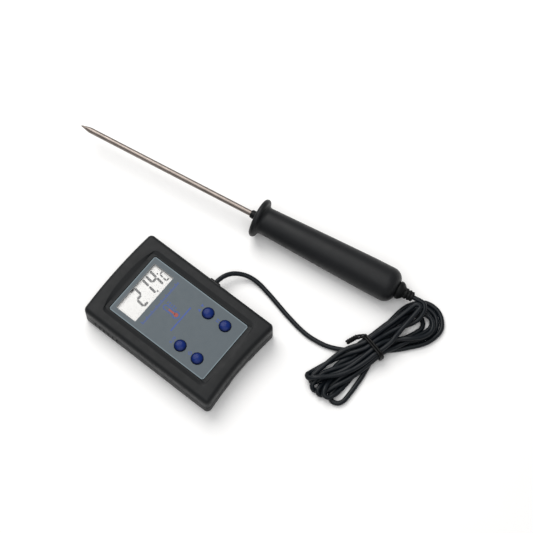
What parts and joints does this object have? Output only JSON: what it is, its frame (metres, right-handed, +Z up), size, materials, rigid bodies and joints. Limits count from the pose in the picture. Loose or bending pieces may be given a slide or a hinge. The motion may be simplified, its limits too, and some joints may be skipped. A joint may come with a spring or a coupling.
{
  "type": "meat thermometer",
  "caption": "Hand-held digital thermometer: flat case with display and push buttons, corded needle probe with a tapered guarded handle, cord tied in a hank.",
  "frame": {"origin": "on the resting plane, below the middle of the case", "axes": "+Y along the case towards its display end, +X towards the long side the cord leaves, +Z up out of the display face"},
  "size_m": [0.1563, 0.2862, 0.0279],
  "materials": {
    "case_plastic": "charcoal, fine satin texture",
    "label_print": "grey-blue printed sheet, satin",
    "clear_pane": "clear",
    "display_cell": "reflective display, pale",
    "dark_plastic": "moulded",
    "soft_rubber": "soft black",
    "board_laminate": "green solder mask",
    "gloss_black": "glossy",
    "cord_vinyl": "satin vinyl",
    "brass": "crimped",
    "button_blue": "glossy dark blue",
    "white_plastic": "moulded",
    "zinc_steel": "plated",
    "battery_sleeve": "plain shrink sleeve",
    "handle_plastic": "matt black",
    "stainless_steel": "drawn tube, fine length-wise lines",
    "wire_red": "insulation"
  },
  "bodies": {
    "case": {"rear_case": "case_plastic", "front_case": "case_plastic", "face_label": "label_print", "display_window": "clear_pane", "lcd_glass": "display_cell", "lcd_frame": "dark_plastic", "contact_strip_upper": "soft_rubber", "contact_strip_lower": "soft_rubber", "circuit_board": "board_laminate", "chip_cover": "gloss_black", "cord_grommet": "soft_rubber", "case_lead": "cord_vinyl", "cord_stop": "brass", "switch_body_power": "dark_plastic", "switch_body_unit": "dark_plastic", "switch_body_hold": "dark_plastic", "switch_body_range": "dark_plastic", "case_screw_1": "zinc_steel", "case_screw_2": "zinc_steel", "case_screw_3": "zinc_steel", "case_screw_4": "zinc_steel", "board_screw_1": "zinc_steel", "board_screw_2": "zinc_steel", "battery_1": "battery_sleeve", "battery_2": "battery_sleeve", "battery_spring_1": "zinc_steel", "battery_spring_2": "zinc_steel", "contact_bridge": "zinc_steel", "contact_positive": "zinc_steel", "contact_negative": "zinc_steel"},
    "battery_cover": {"battery_cover": "case_plastic"},
    "button_power": {"button_power": "button_blue", "switch_plunger_power": "white_plastic"},
    "button_unit": {"button_unit": "button_blue", "switch_plunger_unit": "white_plastic"},
    "button_hold": {"button_hold": "button_blue", "switch_plunger_hold": "white_plastic"},
    "button_range": {"button_range": "button_blue", "switch_plunger_range": "white_plastic"},
    "hank": {"cord": "cord_vinyl", "twist_tie": "gloss_black"},
    "cord_tail": {"cord_tail": "cord_vinyl"},
    "probe": {"probe_handle": "handle_plastic", "strain_relief_boot": "soft_rubber", "stem_collar": "soft_rubber", "probe_stem": "stainless_steel", "stem_anchor": "brass", "sensor_bead": "gloss_black", "sensor_wire_red": "wire_red", "sensor_wire_black": "gloss_black", "splice_sleeve_red": "gloss_black", "splice_sleeve_black": "gloss_black", "probe_lead": "cord_vinyl", "lead_stop": "brass"}
  },
  "joints": [
    {"name": "button_power_press", "type": "slide", "parent": "case", "child": "button_power", "axis": [0, 0, -1], "range_m": [0, 0.0005]},
    {"name": "button_unit_press", "type": "slide", "parent": "case", "child": "button_unit", "axis": [0, 0, -1], "range_m": [0, 0.0005]},
    {"name": "button_hold_press", "type": "slide", "parent": "case", "child": "button_hold", "axis": [0, 0, -1], "range_m": [0, 0.0005]},
    {"name": "button_range_press", "type": "slide", "parent": "case", "child": "button_range", "axis": [0, 0, -1], "range_m": [0, 0.0005]},
    {"name": "battery_cover_slide", "type": "slide", "parent": "case", "child": "battery_cover", "axis": [0, -1, 0], "range_m": [0, 0.026]},
    {"name": "cord_bend", "type": "hinge", "parent": "case", "child": "hank", "pos_m": [0.0375, -0.001, 0.009], "axis": [0, 0, 1], "range_deg": [-10, 10]},
    {"name": "probe_swing", "type": "hinge", "parent": "hank", "child": "cord_tail", "pos_m": [0.11234, -0.11622, 0.01165], "axis": [0, 0, 1], "range_deg": [-20, 6]},
    {"name": "probe_lift", "type": "hinge", "parent": "cord_tail", "child": "probe", "pos_m": [0.11181, -0.11306, 0.01171], "axis": [0.986, 0.1668, 0], "range_deg": [0, 25]}
  ]
}
